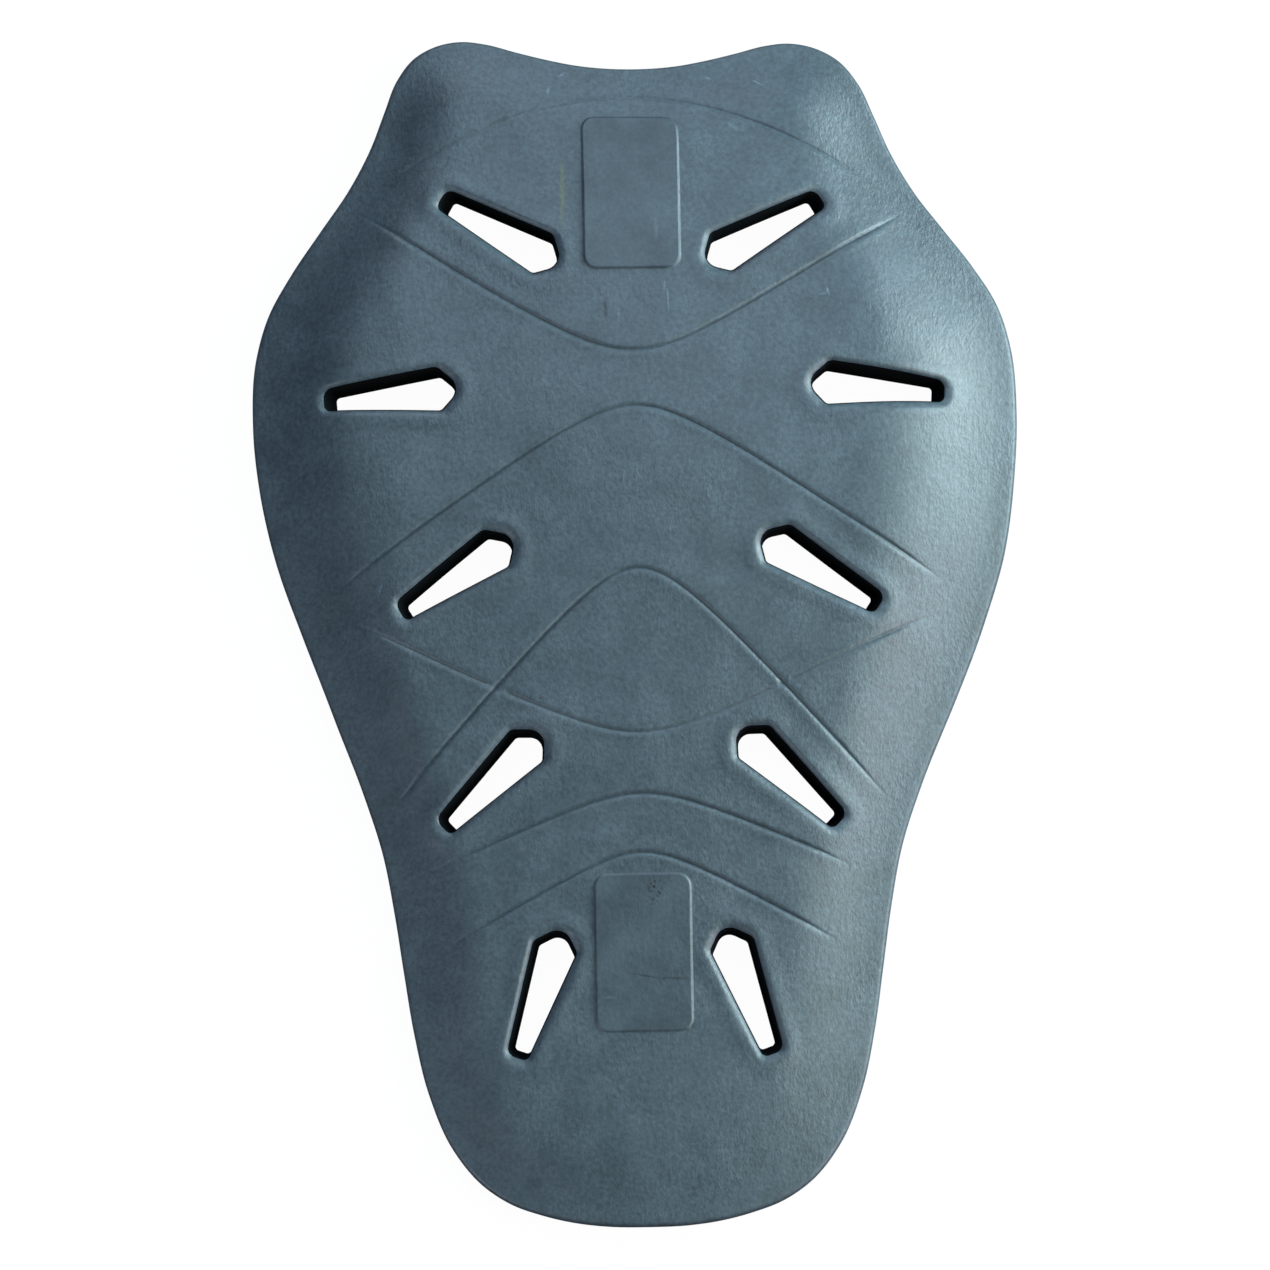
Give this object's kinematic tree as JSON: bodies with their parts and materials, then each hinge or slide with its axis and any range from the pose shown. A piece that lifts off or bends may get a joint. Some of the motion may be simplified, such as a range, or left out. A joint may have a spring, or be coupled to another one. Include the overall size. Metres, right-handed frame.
{
  "type": "moulded foam back protector pad",
  "caption": "Long arched foam pad for the back with a notched top, a thin flange all round, tapered vent slots, pressed lines and flat raised panels on its middle line.",
  "frame": {"origin": "middle of the pad's box, on the surface that the pad lies on with its inner face down", "axes": "+X across the back, +Y up the back towards the neck notch, +Z out of the outer face, away from the wearer"},
  "size_m": [0.278, 0.435, 0.031],
  "materials": {
    "foam": "soft closed foam skin, fine pebbled grain, satin matt, blue-grey"
  },
  "bodies": {
    "root": {"back_pad": "foam"}
  },
  "joints": []
}
